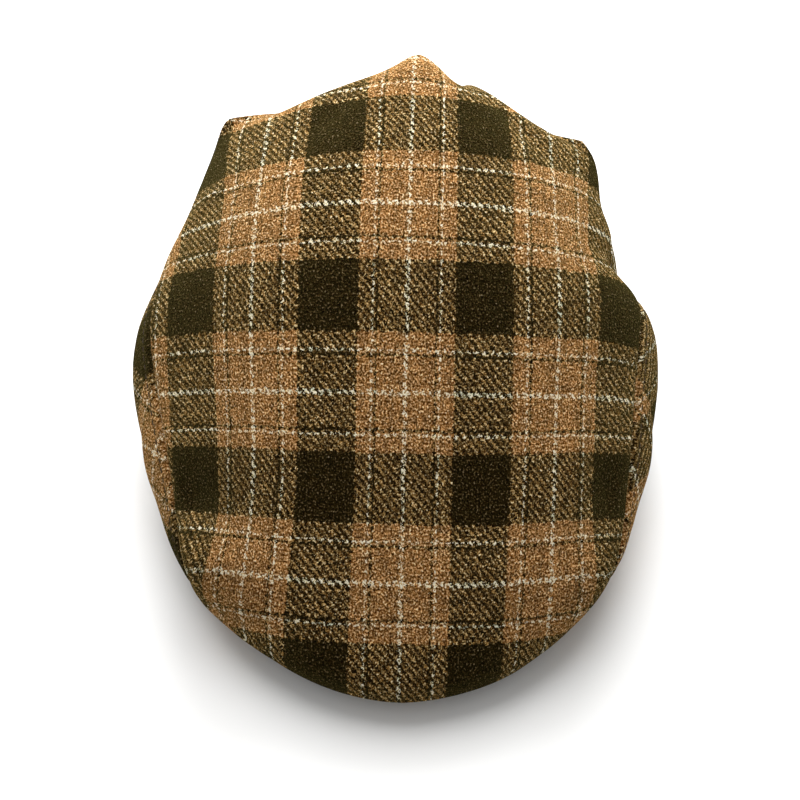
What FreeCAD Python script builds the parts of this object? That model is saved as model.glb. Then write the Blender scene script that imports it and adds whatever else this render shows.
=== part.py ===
import FreeCAD, Part
import math
import os
from FreeCAD import Vector

# A flat (ivy) cap of woven tweed, as it lies when nobody wears it.  Millimetres, +Z up, the brim
# points to -Y, and +X is the right-hand side for someone who looks at the brim from the front.
# The origin is the middle of the cap's footprint, on the plane that it rests on.

os.makedirs("parts", exist_ok=True)

# ---- driving dimensions ----
HEAD_CENTRE_Y = 11.0       # middle of the head opening
HEAD_HALF_WIDTH = 87.0     # outside of the cloth at the opening's lower edge
HEAD_HALF_LENGTH = 103.5
FRONT_RISE = 24.0          # how far the opening's edge arches up above the brim's middle
RISE_ENDS = 78.0           # degrees from the front where that arch has come down to the table
BRIM_CORNER = 66.0         # degrees from the front where the brim's side meets the opening
CORNER_LIFT = 1.0          # the brim's corners stand this far off the table
RIM_TRIM = 0.3             # trimmed off the side panels' lower edge, which leaves a flat rim

CLOTH = 1.8                # tweed of the panels
BRIM_CLOTH = 1.4           # the same tweed, pulled tight under the board
BOARD = 2.2
TAPE = 1.0
BAND = 1.2
LINING = 0.8
LABEL = 0.4
GAP = 0.3                  # air between neighbouring layers

BAND_HEIGHT = 30.0
TAPE_HEIGHT = 14.0
BAND_LIFT = 1.5            # the sweatband's hem stays this far above the cloth's lower edge
BAND_LEAN_FRONT = 19.0     # the band leans in at the forehead, under the low front of the crown
BAND_LEAN_BACK = 1.5
BAND_LEAN_ENDS = 110.0     # degrees from the front where the lean has gone

LINING_DROP = 8.0          # the lining hangs this far under the top of the crown
LINING_STRIP = 52.0        # half width of the lining's top piece
LINING_SIDE_FALL = 14.0    # how much lower the lining's top is 100 mm from the middle

THREAD_RADIUS = 0.3
STITCH = 3.0
STITCH_PITCH = 4.2
SEAM_TO_STITCH = 4.3       # from the side seam to its row of stitches


# ---- curves ----
def blend(values, knots, t):
    """Smooth curve through the values (numbers or vectors) given at rising knots."""
    last = len(knots) - 1
    i = 0
    while i < last - 1 and t > knots[i + 1]:
        i += 1

    def slope(j):
        if j == 0:
            return (values[1] - values[0]) * (1.0 / (knots[1] - knots[0]))
        before = knots[j] - knots[j - 1]
        rate_before = (values[j] - values[j - 1]) * (1.0 / before)
        if j == last:
            return rate_before
        after = knots[j + 1] - knots[j]
        rate_after = (values[j + 1] - values[j]) * (1.0 / after)
        return (rate_before * after + rate_after * before) * (1.0 / (before + after))

    width = knots[i + 1] - knots[i]
    s = (t - knots[i]) / width
    return (values[i] * (2 * s**3 - 3 * s**2 + 1) + slope(i) * (width * (s**3 - 2 * s**2 + s))
            + values[i + 1] * (3 * s**2 - 2 * s**3) + slope(i + 1) * (width * (s**3 - s**2)))


def bezier(a, b, c, d, t):
    s = 1.0 - t
    return a * (s * s * s) + b * (3 * s * s * t) + c * (3 * s * t * t) + d * (t * t * t)


def mix(a, b, t):
    return a * (1.0 - t) + b * t


def bell(t, middle, width):
    return math.exp(-((t - middle) / width) ** 2)


# ---- the crown's top panel ----
# Half sections of the panel, from the edge of the brim (0) to the back seam (1): the point on the
# centre line, its handle, the handle at the side seam, and the point on the seam.  Left half.
SECTIONS = [
    (0.00, (2, -141, 14), (-42, 1, 0), (2, -18, 1), (-76, -88, 8)),
    (0.04, (2, -138, 20), (-46, 1, 0), (3, -18, 2), (-84, -89, 16)),
    (0.12, (2, -115, 32), (-50, 0, 1), (2, -16, 8), (-89, -84, 27)),
    (0.27, (2, -73, 51), (-50, 0, 1), (8, -10, 12), (-96, -51, 43)),
    (0.42, (3, -31, 69), (-50, 0, 1), (12, -4, 13), (-101.5, -19, 54)),
    (0.57, (4, 11, 86), (-50, 0, 0), (4, -2, 14), (-106, 14, 62)),
    (0.72, (5, 55, 98.5), (-48, 0, 0), (-2, 0, 18), (-101, 46, 62)),
    (0.86, (7, 97, 104), (-44, 0, -3), (-1, 0, 18), (-87, 82, 67)),
    (0.95, (9, 125, 102), (-36, -2, -5), (2, -2, 14), (-80, 108, 73)),
    (1.00, (11, 137, 94), (-30, -6, -7), (18, 2, 5), (-76, 117, 78)),
]
SECTION_KNOTS = [row[0] for row in SECTIONS]
SECTION_VECTORS = [[Vector(*row[k]) for row in SECTIONS] for k in range(1, 5)]

# Where the worn crown leaves that even shape: place across (-1 to 1) and along (0 to 1), the
# spread both ways, and the push there.
FEATURES = [
    (1.0, 0.95, 0.50, 0.120, Vector(10, -14, 0)),       # right rear corner, further forward and out
    (1.0, 0.70, 0.50, 0.050, Vector(-8, 0, 0)),         # right waist
    (1.0, 0.60, 0.40, 0.045, Vector(1, 0, 0)),          # swell in front of the waist
    (1.0, 0.20, 0.40, 0.250, Vector(3.5, 0, 1)),        # fuller front on the right
    (0.50, 0.0, 0.25, 0.060, Vector(0, -2.5, 0)),       # brim's edge right of the middle
    (-1.0, 0.50, 0.30, 0.180, Vector(-1.5, 0, 0)),      # fuller left side
    (-1.0, 0.86, 0.30, 0.060, Vector(-2, 0, 0)),        # fuller left rear
    (0.00, 1.0, 0.12, 0.050, Vector(0, 3, 4)),          # centre peak
    (0.19, 1.0, 0.05, 0.050, Vector(0, -3, -3)),        # notch beside the peak
    (0.32, 1.0, 0.10, 0.050, Vector(0, 2, 1)),          # small rise right of the notch
    (0.55, 1.0, 0.30, 0.100, Vector(0, -5, -3)),        # the ridge is lower right of the peak
    (-0.55, 1.0, 0.18, 0.060, Vector(0, -4, -2.5)),     # and a little lower left of it
    (-0.95, 0.98, 0.12, 0.040, Vector(-2, -2, 4)),      # left rear corner peak
    (0.95, 0.98, 0.14, 0.040, Vector(2, -2, 3)),        # right rear corner peak
]


def top_outside(across, along):
    """Outside of the top panel: across -1 (left) to 1 (right), along 0 (brim) to 1 (back)."""
    centre, centre_handle, seam_handle, seam = [
        blend(vectors, SECTION_KNOTS, along) for vectors in SECTION_VECTORS]
    if across > 0:
        centre_handle = Vector(-centre_handle.x, centre_handle.y, centre_handle.z)
        seam_handle = Vector(-seam_handle.x, seam_handle.y, seam_handle.z)
        seam = Vector(-seam.x, seam.y, seam.z)
    point = bezier(centre, centre + centre_handle, seam + seam_handle, seam, abs(across))
    for middle_across, middle_along, spread_across, spread_along, push in FEATURES:
        share = bell(across, middle_across, spread_across) * bell(along, middle_along, spread_along)
        point = point + push * share
    return point


# ---- the head opening and the brim ----
def head_rise(degrees):
    """Height of the opening's lower edge, by the angle from the front."""
    angle = abs(degrees)
    if angle >= RISE_ENDS:
        return 0.0
    return FRONT_RISE * (0.5 + 0.5 * math.cos(math.pi * angle / RISE_ENDS))


def head_point(degrees, inset=0.0, height=0.0):
    """Point on the opening's wall, inset from the cloth's outside; it leans in with the band."""
    angle = min(abs(degrees), BAND_LEAN_ENDS)
    share = 0.5 + 0.5 * math.cos(math.pi * angle / BAND_LEAN_ENDS)
    lean = BAND_LEAN_BACK + (BAND_LEAN_FRONT - BAND_LEAN_BACK) * share
    slope = lean / BAND_HEIGHT
    depth = inset + slope * height
    turn = math.radians(degrees)
    return Vector((HEAD_HALF_WIDTH - depth) * math.sin(turn),
                  HEAD_CENTRE_Y - (HEAD_HALF_LENGTH - depth) * math.cos(turn),
                  head_rise(degrees) + height * math.sqrt(1.0 - slope * slope))


# Side edge of the brim, from the end of the top panel back to the brim's corner.  Left side.
BRIM_SIDE_SHARE = 0.34
BRIM_SIDE = [
    (0.00, Vector(-76, -88, 8)),
    (0.12, Vector(-82, -71, 5.5)),
    (0.22, Vector(-85, -53, 3.5)),
    (0.30, Vector(-84, -39, 2)),
    (BRIM_SIDE_SHARE, Vector(-HEAD_HALF_WIDTH * math.sin(math.radians(BRIM_CORNER)),
                             HEAD_CENTRE_Y - HEAD_HALF_LENGTH * math.cos(math.radians(BRIM_CORNER)),
                             CORNER_LIFT)),
]
BRIM_SIDE_KNOTS = [row[0] for row in BRIM_SIDE]
BRIM_SIDE_POINTS = [row[1] for row in BRIM_SIDE]
BRIM_FRONT_SHARE = 0.68    # share of the brim's edge, from corner to corner, under the top panel


def brim_side_edge(side, share):
    point = blend(BRIM_SIDE_POINTS, BRIM_SIDE_KNOTS, share)
    return Vector(-side * point.x, point.y, point.z)


def brim_edge(along):
    """Edge of the brim, from its left corner (-1) round the tip to its right corner (1)."""
    if abs(along) <= BRIM_FRONT_SHARE:
        return top_outside(along / BRIM_FRONT_SHARE, 0.0)
    share = (abs(along) - BRIM_FRONT_SHARE) / (1.0 - BRIM_FRONT_SHARE)
    return brim_side_edge(math.copysign(1, along), share * BRIM_SIDE_SHARE)


def brim_underside(along, inward):
    """Underside of the brim: inward 0 at its edge, 1 where it meets the head opening."""
    joint = head_point(along * BRIM_CORNER)
    joint.z = max(joint.z, CORNER_LIFT)
    return mix(brim_edge(along), joint, inward)


# ---- the side panels ----
SIDE_SEAM_SHARE = 0.80     # share of a side panel's upper edge beside the top panel's long side

# Handles of a side panel's sections from the front (0) to the centre back (1): out and down at
# the seam, out and up at the lower edge.
SIDE_SECTIONS = [
    (0.00, (1, 1, 1, 1)),
    (0.08, (5, 5, 7, 3)),
    (0.20, (12, 12, 18, 5)),
    (0.34, (17, 16, 32, 12)),
    (0.46, (16, 20, 32, 20)),
    (0.60, (9, 22, 24, 20)),
    (0.80, (2, 24, 16, 22)),
    (1.00, (2, 26, 12, 24)),
]
BRIM_CENTRE_Y = -49.0
BRIM_SIDEWAYS = 0.35       # beside the brim the panels bulge sideways more than forwards
SIDE_KNOTS = [row[0] for row in SIDE_SECTIONS]
SIDE_HANDLES = [[row[1][k] for row in SIDE_SECTIONS] for k in range(4)]


def side_upper_edge(side, along):
    if along <= SIDE_SEAM_SHARE:
        return top_outside(side, along / SIDE_SEAM_SHARE)
    return top_outside(side * (1.0 - along) / (1.0 - SIDE_SEAM_SHARE), 1.0)


def side_lower_edge(side, along):
    if along < BRIM_SIDE_SHARE:
        return brim_side_edge(side, along)
    share = (along - BRIM_SIDE_SHARE) / (1.0 - BRIM_SIDE_SHARE)
    degrees = mix(BRIM_CORNER, 180.0, share)
    point = head_point(side * degrees)
    lift = (RISE_ENDS - degrees) / (RISE_ENDS - BRIM_CORNER)
    point.z = (CORNER_LIFT + RIM_TRIM) * max(0.0, lift) - RIM_TRIM
    return point


def outward_at(side, along):
    """Level direction away from the middle of the cap."""
    low = side_lower_edge(side, along)
    from_head = Vector(low.x / HEAD_HALF_WIDTH**2, (low.y - HEAD_CENTRE_Y) / HEAD_HALF_LENGTH**2, 0)
    from_head.normalize()
    if along >= BRIM_SIDE_SHARE:
        return from_head
    high = side_upper_edge(side, along)
    from_brim = Vector(high.x, (high.y - BRIM_CENTRE_Y) * BRIM_SIDEWAYS, 0)
    from_brim.normalize()
    direction = mix(from_brim, from_head, (along / BRIM_SIDE_SHARE) ** 2)
    direction.normalize()
    return direction


def side_outside(side, along, down):
    """Outside of a side panel: along 0 (front) to 1 (back), down 0 (seam) to 1 (lower edge)."""
    upper = side_upper_edge(side, along)
    lower = side_lower_edge(side, along)
    seam_out, seam_down, low_out, low_up = [
        blend(handles, SIDE_KNOTS, along) for handles in SIDE_HANDLES]
    outward = outward_at(side, along)
    return bezier(upper, upper + outward * seam_out - Vector(0, 0, seam_down),
                  lower + outward * low_out + Vector(0, 0, low_up), lower, down)


# ---- the lining ----
LINING_SQUARENESS = 3.2    # 2 would make the lining's section an ellipse, more is squarer


def lining_ring(degrees):
    """Where the lining is sewn to the top of the sweatband."""
    return head_point(degrees, CLOTH + TAPE + 2 * GAP, BAND_HEIGHT + 2.0)


def ring_angle(x, low, high):
    """Angle between low and high at which the ring is x away from the middle."""
    rising = lining_ring(high).x > lining_ring(low).x
    for _ in range(30):
        middle = 0.5 * (low + high)
        if (lining_ring(middle).x < x) == rising:
            low = middle
        else:
            high = middle
    return low


LINING_FRONT_CORNER = ring_angle(LINING_STRIP, 0.0, 90.0)
LINING_BACK_CORNER = ring_angle(LINING_STRIP, 90.0, 180.0)
CENTRE_PLACES = [row[1][1] for row in SECTIONS]
CENTRE_HEIGHTS = [row[1][2] for row in SECTIONS]


def lining_top_surface(across, along):
    """The lining's top piece, from the front of the sweatband (0) to its back (1)."""
    x = LINING_STRIP * across
    front = lining_ring(ring_angle(abs(x), 0.0, LINING_FRONT_CORNER))
    back = lining_ring(ring_angle(abs(x), LINING_BACK_CORNER, 180.0))
    turn = math.pi * along
    reach = math.copysign(abs(math.cos(turn)) ** (2 / LINING_SQUARENESS), -math.cos(turn))
    height = abs(math.sin(turn)) ** (2 / LINING_SQUARENESS)
    share = 0.5 + 0.5 * reach
    y = mix(front.y, back.y, share)
    floor = mix(front.z, back.z, share)
    crown = blend(CENTRE_HEIGHTS, CENTRE_PLACES, y)
    ceiling = crown - LINING_DROP - LINING_SIDE_FALL * (x / 100) ** 2
    return Vector(x, y, mix(floor, ceiling, height))


def lining_side_surface(side, along, down):
    """A side piece of the lining, from its seam with the top piece down to the sweatband."""
    upper = lining_top_surface(side, along)
    lower = lining_ring(side * mix(LINING_FRONT_CORNER, LINING_BACK_CORNER, along))
    across = Vector(lower.x - upper.x, lower.y - upper.y, 0) * 0.6
    rise = Vector(0, 0, (upper.z - lower.z) * 0.6)
    return bezier(upper, upper + across, lower + rise, lower, down)


# ---- solids from surfaces ----
STEP_SIZE = 1e-3


def normal_of(surface, u, v):
    """Unit normal of surface(u, v), with u and v in 0..1."""
    before_u = max(0.0, u - STEP_SIZE)
    after_u = min(1.0, u + STEP_SIZE)
    before_v = max(0.0, v - STEP_SIZE)
    after_v = min(1.0, v + STEP_SIZE)
    along_u = surface(after_u, v) - surface(before_u, v)
    along_v = surface(u, after_v) - surface(u, before_v)
    normal = along_u.cross(along_v)
    normal.normalize()
    return normal


def layer(surface, from_depth, to_depth, rows, columns, level_end=False):
    """Closed solid between two offsets of surface(u, v), u and v in 0..1, with ruled edges.

    The depths count against the normal.  level_end keeps the edge at v = 1 level, so that the
    layer can stand on it."""
    faces = []
    grids = []
    for depth in (from_depth, to_depth):
        grid = []
        for i in range(rows):
            line = []
            for j in range(columns):
                u = i / (rows - 1)
                v = j / (columns - 1)
                normal = normal_of(surface, u, v)
                if level_end:
                    normal.z *= 1.0 - v**6
                    normal.normalize()
                line.append(surface(u, v) - normal * depth)
            grid.append(line)
        patch = Part.BSplineSurface()
        patch.interpolate(grid)
        grids.append(patch)
        faces.append(patch.toShape())
    outer, inner = grids
    u0, u1, v0, v1 = outer.bounds()
    p0, p1, q0, q1 = inner.bounds()
    pairs = [(outer.uIso(u0), inner.uIso(p0)), (outer.uIso(u1), inner.uIso(p1)),
             (outer.vIso(v0), inner.vIso(q0)), (outer.vIso(v1), inner.vIso(q1))]
    for outer_edge, inner_edge in pairs:
        faces.append(Part.makeRuledSurface(outer_edge.toShape(), inner_edge.toShape()))
    shell = Part.makeShell(faces)
    shell.sewShape()
    solid = Part.Solid(shell)
    if solid.Volume < 0:
        solid.reverse()
    return solid


def stitch_row(path, spacing=STITCH_PITCH):
    """Short round stitches along path(t), t in 0..1; each is a solid of its own."""
    samples = 400
    points = [path(i / samples) for i in range(samples + 1)]
    lengths = [0.0]
    for before, after in zip(points, points[1:]):
        lengths.append(lengths[-1] + (after - before).Length)
    count = int(lengths[-1] / spacing)

    def at(distance):
        i = 0
        while i < samples - 1 and lengths[i + 1] < distance:
            i += 1
        share = (distance - lengths[i]) / (lengths[i + 1] - lengths[i])
        return mix(points[i], points[i + 1], share)

    stitches = []
    for k in range(count):
        start = at(spacing * (k + 0.1))
        end = at(spacing * (k + 0.1) + STITCH)
        reach = end - start
        stitches.append(Part.makeCylinder(THREAD_RADIUS, reach.Length, start, reach))
    return stitches


def write(node, shape):
    shape.exportStep("parts/" + node + ".step")


# ---- the pieces ----
def top_panel():
    margin = 0.007

    def surface(u, v):
        return top_outside(mix(-1.0 + margin, 1.0 - margin, u), v * (1.0 - margin))
    return layer(surface, 0.0, CLOTH, 41, 41)


SIDE_START = 0.012         # the side panel's front end, where it runs out to a point
SIDE_MARGIN = 0.014


def side_panel_surface(side):
    end_margin = 0.003

    def surface(u, v):
        along = mix(SIDE_START, 1.0 - end_margin, u)
        down = mix(SIDE_MARGIN, 1.0, v)
        return side_outside(side, along, down)
    return surface


def below_the_table():
    reach = 400.0
    return Part.makeBox(2 * reach, 2 * reach, reach, Vector(-reach, -reach, -reach))


def side_panel(side):
    depth = -CLOTH if side > 0 else CLOTH
    panel = layer(side_panel_surface(side), 0.0, depth, 49, 21, level_end=True)
    return panel.cut(below_the_table())


def brim_surface(edge_inset, joint_inset):
    def surface(u, v):
        along = mix(-0.985, 0.985, u)
        edge = brim_underside(along, 0.0)
        joint = brim_underside(along, 1.0)
        width = (joint - edge).Length
        start = edge_inset / width
        end = 1.0 - joint_inset / width
        if start > end - 0.2:
            middle = 0.5 * (start + end)
            start = middle - 0.1
            end = middle + 0.1
        return brim_underside(along, mix(start, end, v))
    return surface


def under_brim():
    return layer(brim_surface(CLOTH + 4 * GAP, GAP), 0.0, -BRIM_CLOTH, 41, 7)


def brim_board():
    bottom = BRIM_CLOTH + GAP
    return layer(brim_surface(5.5, 1.5), -bottom, -bottom - BOARD, 41, 7)


def ring_surface(inset, low, high, start=-179.6, end=179.6):
    def surface(u, v):
        return head_point(mix(start, end, u), inset, mix(low, high, v))
    return surface


TAPE_INSET = CLOTH + GAP
BAND_INSET = TAPE_INSET + TAPE + GAP


def headband_tape():
    return layer(ring_surface(TAPE_INSET, BAND_LIFT, TAPE_HEIGHT), 0.0, TAPE, 61, 5)


def sweatband():
    return layer(ring_surface(BAND_INSET, BAND_LIFT, BAND_HEIGHT), 0.0, BAND, 61, 7)


def lining_top():
    margin = 0.006

    def surface(u, v):
        return lining_top_surface(mix(-1.0 + margin, 1.0 - margin, u), mix(margin, 1.0 - margin, v))
    return layer(surface, 0.0, LINING, 17, 41)


def lining_side(side):
    def surface(u, v):
        return lining_side_surface(side, mix(0.04, 0.96, u), mix(0.02, 0.99, v))
    depth = -LINING if side > 0 else LINING
    return layer(surface, 0.0, depth, 33, 17)


def maker_label():
    half_width = 26.0 / LINING_STRIP

    def surface(u, v):
        return lining_top_surface(mix(-half_width, half_width, u), mix(0.50, 0.60, v))
    return layer(surface, LINING + 2 * GAP, LINING + 2 * GAP + LABEL, 9, 9)


def size_label():
    inset = BAND_INSET + BAND + GAP
    return layer(ring_surface(inset, 8.0, 24.0, 150.0, 158.0), 0.0, LABEL, 5, 5)


def side_topstitch(side):
    surface = side_panel_surface(side)

    def path(t):
        u = mix(0.06, 0.985, t)
        seam = surface(u, 0.0)
        below = 0.0
        while below < 0.5 and (surface(u, below) - seam).Length < SEAM_TO_STITCH:
            below += 0.01
        normal = normal_of(surface, u, below) * -side
        return surface(u, below) + normal * (THREAD_RADIUS + 0.1)
    return stitch_row(path)


def back_seam_topstitch():
    stitches = []
    for side in (-1, 1):
        surface = side_panel_surface(side)

        def path(t):
            u = 0.986
            v = mix(0.06, 0.97, t)
            normal = normal_of(surface, u, v) * -side
            return surface(u, v) + normal * (THREAD_RADIUS + 0.1)
        stitches += stitch_row(path)
    return stitches


def brim_stitching():
    surface = brim_surface(7.0, 1.5)

    def path(t):
        u = mix(0.12, 0.88, t)
        return surface(u, 0.0) - normal_of(surface, u, 0.0) * (THREAD_RADIUS + 0.1)
    return stitch_row(path)


def sweatband_stitching():
    surface = ring_surface(BAND_INSET + BAND, BAND_LIFT, BAND_HEIGHT)

    def path(t):
        u = mix(0.01, 0.99, t)
        return surface(u, 0.08) - normal_of(surface, u, 0.08) * (THREAD_RADIUS + 0.1)
    return stitch_row(path)


def main():
    write("top_panel", top_panel())
    for side, name in ((-1, "left"), (1, "right")):
        write("side_panel_" + name, side_panel(side))
        write("lining_side_" + name, lining_side(side))
        write("topstitch_" + name, Part.makeCompound(side_topstitch(side)))
    write("under_brim", under_brim())
    write("brim_board", brim_board())
    write("headband_tape", headband_tape())
    write("sweatband", sweatband())
    write("lining_top", lining_top())
    write("maker_label", maker_label())
    write("size_label", size_label())
    write("back_seam_topstitch", Part.makeCompound(back_seam_topstitch()))
    write("brim_stitching", Part.makeCompound(brim_stitching()))
    write("sweatband_stitching", Part.makeCompound(sweatband_stitching()))


main()
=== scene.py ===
import itertools
import math

import bpy
import numpy as np
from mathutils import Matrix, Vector


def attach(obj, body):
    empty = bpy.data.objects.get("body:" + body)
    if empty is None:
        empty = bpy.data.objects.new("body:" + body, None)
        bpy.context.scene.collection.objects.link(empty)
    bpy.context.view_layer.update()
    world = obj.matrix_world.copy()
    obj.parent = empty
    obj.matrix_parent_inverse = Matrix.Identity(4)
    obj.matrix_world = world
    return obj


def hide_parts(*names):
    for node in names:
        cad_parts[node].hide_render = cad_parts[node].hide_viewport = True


# The looks of a soft flat cap in plaid tweed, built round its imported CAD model.  The shapes are
# worked out in millimetres, in the frame of the CAD, and the meshes are in metres.

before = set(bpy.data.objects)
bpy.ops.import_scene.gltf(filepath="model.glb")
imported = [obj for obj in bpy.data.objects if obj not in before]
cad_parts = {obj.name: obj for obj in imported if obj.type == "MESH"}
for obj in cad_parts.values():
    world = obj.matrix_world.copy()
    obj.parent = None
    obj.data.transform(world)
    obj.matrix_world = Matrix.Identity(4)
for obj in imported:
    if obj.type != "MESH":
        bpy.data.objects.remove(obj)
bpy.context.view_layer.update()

MM = 0.001
UP = np.array([0.0, 0.0, 1.0])

# ---- driving dimensions, as in the CAD ----
HEAD_CENTRE_Y = 11.0
HEAD_HALF_WIDTH = 87.0
HEAD_HALF_LENGTH = 103.5
FRONT_RISE = 24.0
RISE_ENDS = 78.0
BRIM_CORNER = 66.0
CORNER_LIFT = 1.0
BAND_HEIGHT = 30.0
BAND_LIFT = 1.5
BAND_LEAN_FRONT = 19.0
BAND_LEAN_BACK = 1.5
BAND_LEAN_ENDS = 110.0
LINING_DROP = 8.0
LINING_STRIP = 52.0
LINING_SIDE_FALL = 14.0
LINING_SQUARENESS = 3.2
STITCH = 3.0
STITCH_PITCH = 4.2
STITCH_RADIUS = 0.33
SEAM_TO_STITCH = 4.3

# ---- the visible cloth ----
TWEED = 1.3                # one layer of tweed
SATIN = 0.35
RIBBON = 0.9               # the sweatband's grosgrain
STAY = 0.25                # the tape behind it
LABEL = 0.4
SETT = 80                  # threads in one repeat of the plaid
BAND_MIDDLE = 25           # thread in the middle of the plaid's tan band
WARP_PITCH = 0.808         # from one warp thread to the next
WEFT_PITCH = 1.0
CENTRE_LINE = -1.6         # the top panel's middle white warp line, right of its centre line
WEFT_LINES = [-27.5, 48.8, 127.0, 210.4, 291.0]    # its thick white weft lines, from the brim's edge
SEAM_SINK = 1.5            # how deep the cloth rolls in at a seam
SEAM_ROLL = 1.7            # width of that roll
FOLD_FREE = 14.0           # how far from a seam a fold has its full height
BRIM_HEM = (1.1, 110.0, 2.2)    # the top panel's hem: radius, degrees turned under, length beyond
STITCH_SINK = 0.35         # how deep a row of stitches draws the cloth in
STITCH_GROOVE = 0.8        # half width of that groove


# ---- curves ----
def smooth_curve(knots, values, t):
    """Smooth curve through the values (one row of numbers for each rising knot), at each t."""
    knots = np.asarray(knots, float)
    values = np.asarray(values, float).reshape(len(knots), -1)
    widths = np.diff(knots)[:, None]
    rates = np.diff(values, axis=0) / widths
    slopes = np.empty_like(values)
    slopes[0] = rates[0]
    slopes[-1] = rates[-1]
    slopes[1:-1] = (rates[:-1] * widths[1:] + rates[1:] * widths[:-1]) / (widths[:-1] + widths[1:])
    t = np.asarray(t, float)
    i = np.clip(np.searchsorted(knots, t, side="right") - 1, 0, len(knots) - 2)
    width = widths[i]
    s = (t - knots[i])[..., None] / width
    return (values[i] * (2 * s**3 - 3 * s**2 + 1) + slopes[i] * width * (s**3 - 2 * s**2 + s)
            + values[i + 1] * (3 * s**2 - 2 * s**3) + slopes[i + 1] * width * (s**3 - s**2))


def read_table(rows, t, column=1):
    """Smooth curve through a column of rows that begin with their place, at each t."""
    return smooth_curve([row[0] for row in rows], [row[column] for row in rows], t)


def bezier(a, b, c, d, t):
    s = 1.0 - t
    return a * (s * s * s) + b * (3 * s * s * t) + c * (3 * s * t * t) + d * (t * t * t)


def mix(a, b, t):
    return a * (1.0 - t) + b * t


def bell(t, middle, width):
    return np.exp(-((t - middle) / width) ** 2)


def smooth_step(t, start, end):
    s = np.clip((t - start) / (end - start), 0.0, 1.0)
    return s * s * (3.0 - 2.0 * s)


def unit(vectors):
    return vectors / (np.linalg.norm(vectors, axis=-1, keepdims=True) + 1e-12)


def matched(*values):
    """The values as arrays of numbers that all have one shape."""
    return np.broadcast_arrays(*[np.asarray(value, float) for value in values])


def point(*values):
    return np.stack(matched(*values), axis=-1)


# ---- the crown's top panel ----
# Half sections from the edge of the brim (0) to the back seam (1): the point on the centre line,
# its handle, the handle at the side seam, and the point on the seam.
SECTIONS = [
    (0.00, (2, -141, 14), (-42, 1, 0), (2, -18, 1), (-76, -88, 8)),
    (0.04, (2, -138, 20), (-46, 1, 0), (3, -18, 2), (-84, -89, 16)),
    (0.12, (2, -115, 32), (-50, 0, 1), (2, -16, 8), (-89, -84, 27)),
    (0.27, (2, -73, 51), (-50, 0, 1), (8, -10, 12), (-96, -51, 43)),
    (0.42, (3, -31, 69), (-50, 0, 1), (12, -4, 13), (-101.5, -19, 54)),
    (0.57, (4, 11, 86), (-50, 0, 0), (4, -2, 14), (-106, 14, 62)),
    (0.72, (5, 55, 98.5), (-48, 0, 0), (-2, 0, 18), (-101, 46, 62)),
    (0.86, (7, 97, 104), (-44, 0, -3), (-1, 0, 18), (-87, 82, 67)),
    (0.95, (9, 125, 102), (-36, -2, -5), (2, -2, 14), (-80, 108, 73)),
    (1.00, (11, 137, 94), (-30, -6, -7), (18, 2, 5), (-76, 117, 78)),
]

# Pushes where the worn crown leaves that even shape: place across and along, spread across and
# along, and the push itself.
FEATURES = [
    (1.0, 0.95, 0.50, 0.120, (10, -14, 0)),
    (1.0, 0.70, 0.50, 0.050, (-8, 0, 0)),
    (1.0, 0.60, 0.40, 0.045, (1, 0, 0)),
    (1.0, 0.20, 0.40, 0.250, (3.5, 0, 1)),
    (0.50, 0.0, 0.25, 0.060, (0, -2.5, 0)),
    (-1.0, 0.50, 0.30, 0.180, (-1.5, 0, 0)),
    (-1.0, 0.86, 0.30, 0.060, (-2, 0, 0)),
    (0.00, 1.0, 0.12, 0.050, (0, 3, 4)),
    (0.19, 1.0, 0.05, 0.050, (0, -3, -3)),
    (0.32, 1.0, 0.10, 0.050, (0, 2, 1)),
    (0.55, 1.0, 0.30, 0.100, (0, -5, -3)),
    (-0.55, 1.0, 0.18, 0.060, (0, -4, -2.5)),
    (-0.95, 0.98, 0.12, 0.040, (-2, -2, 4)),
    (0.95, 0.98, 0.14, 0.040, (2, -2, 3)),
]


def top_outside(across, along):
    """Outside of the top panel: across -1 (left) to 1 (right), along 0 (brim) to 1 (back)."""
    across, along = matched(across, along)
    centre, centre_handle, seam_handle, seam = [
        read_table(SECTIONS, along, column) for column in range(1, 5)]
    mirror = point(np.where(across > 0, -1.0, 1.0), 1.0, 1.0)
    place = bezier(centre, centre + centre_handle * mirror, (seam + seam_handle) * mirror,
                   seam * mirror, np.abs(across)[..., None])
    for middle_across, middle_along, spread_across, spread_along, push in FEATURES:
        share = bell(across, middle_across, spread_across) * bell(along, middle_along, spread_along)
        place = place + share[..., None] * np.array(push, float)
    return place


# ---- the head opening and the brim ----
def head_rise(degrees):
    angle = np.minimum(np.abs(degrees), RISE_ENDS)
    return FRONT_RISE * (0.5 + 0.5 * np.cos(np.pi * angle / RISE_ENDS))


def head_point(degrees, inset=0.0, height=0.0):
    """Point on the opening's wall, inset from the cloth's outside; it leans in with the band."""
    angle = np.minimum(np.abs(degrees), BAND_LEAN_ENDS)
    share = 0.5 + 0.5 * np.cos(np.pi * angle / BAND_LEAN_ENDS)
    slope = mix(BAND_LEAN_BACK, BAND_LEAN_FRONT, share) / BAND_HEIGHT
    depth = inset + slope * height
    turn = np.radians(degrees)
    return point((HEAD_HALF_WIDTH - depth) * np.sin(turn),
                 HEAD_CENTRE_Y - (HEAD_HALF_LENGTH - depth) * np.cos(turn),
                 head_rise(degrees) + height * np.sqrt(1.0 - slope * slope))


BRIM_SIDE_SHARE = 0.34
BRIM_SIDE = [
    (0.00, (-76, -88, 8)),
    (0.12, (-82, -71, 5.5)),
    (0.22, (-85, -53, 3.5)),
    (0.30, (-84, -39, 2)),
    (BRIM_SIDE_SHARE, (-HEAD_HALF_WIDTH * math.sin(math.radians(BRIM_CORNER)),
                       HEAD_CENTRE_Y - HEAD_HALF_LENGTH * math.cos(math.radians(BRIM_CORNER)),
                       CORNER_LIFT)),
]
BRIM_FRONT_SHARE = 0.68


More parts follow.
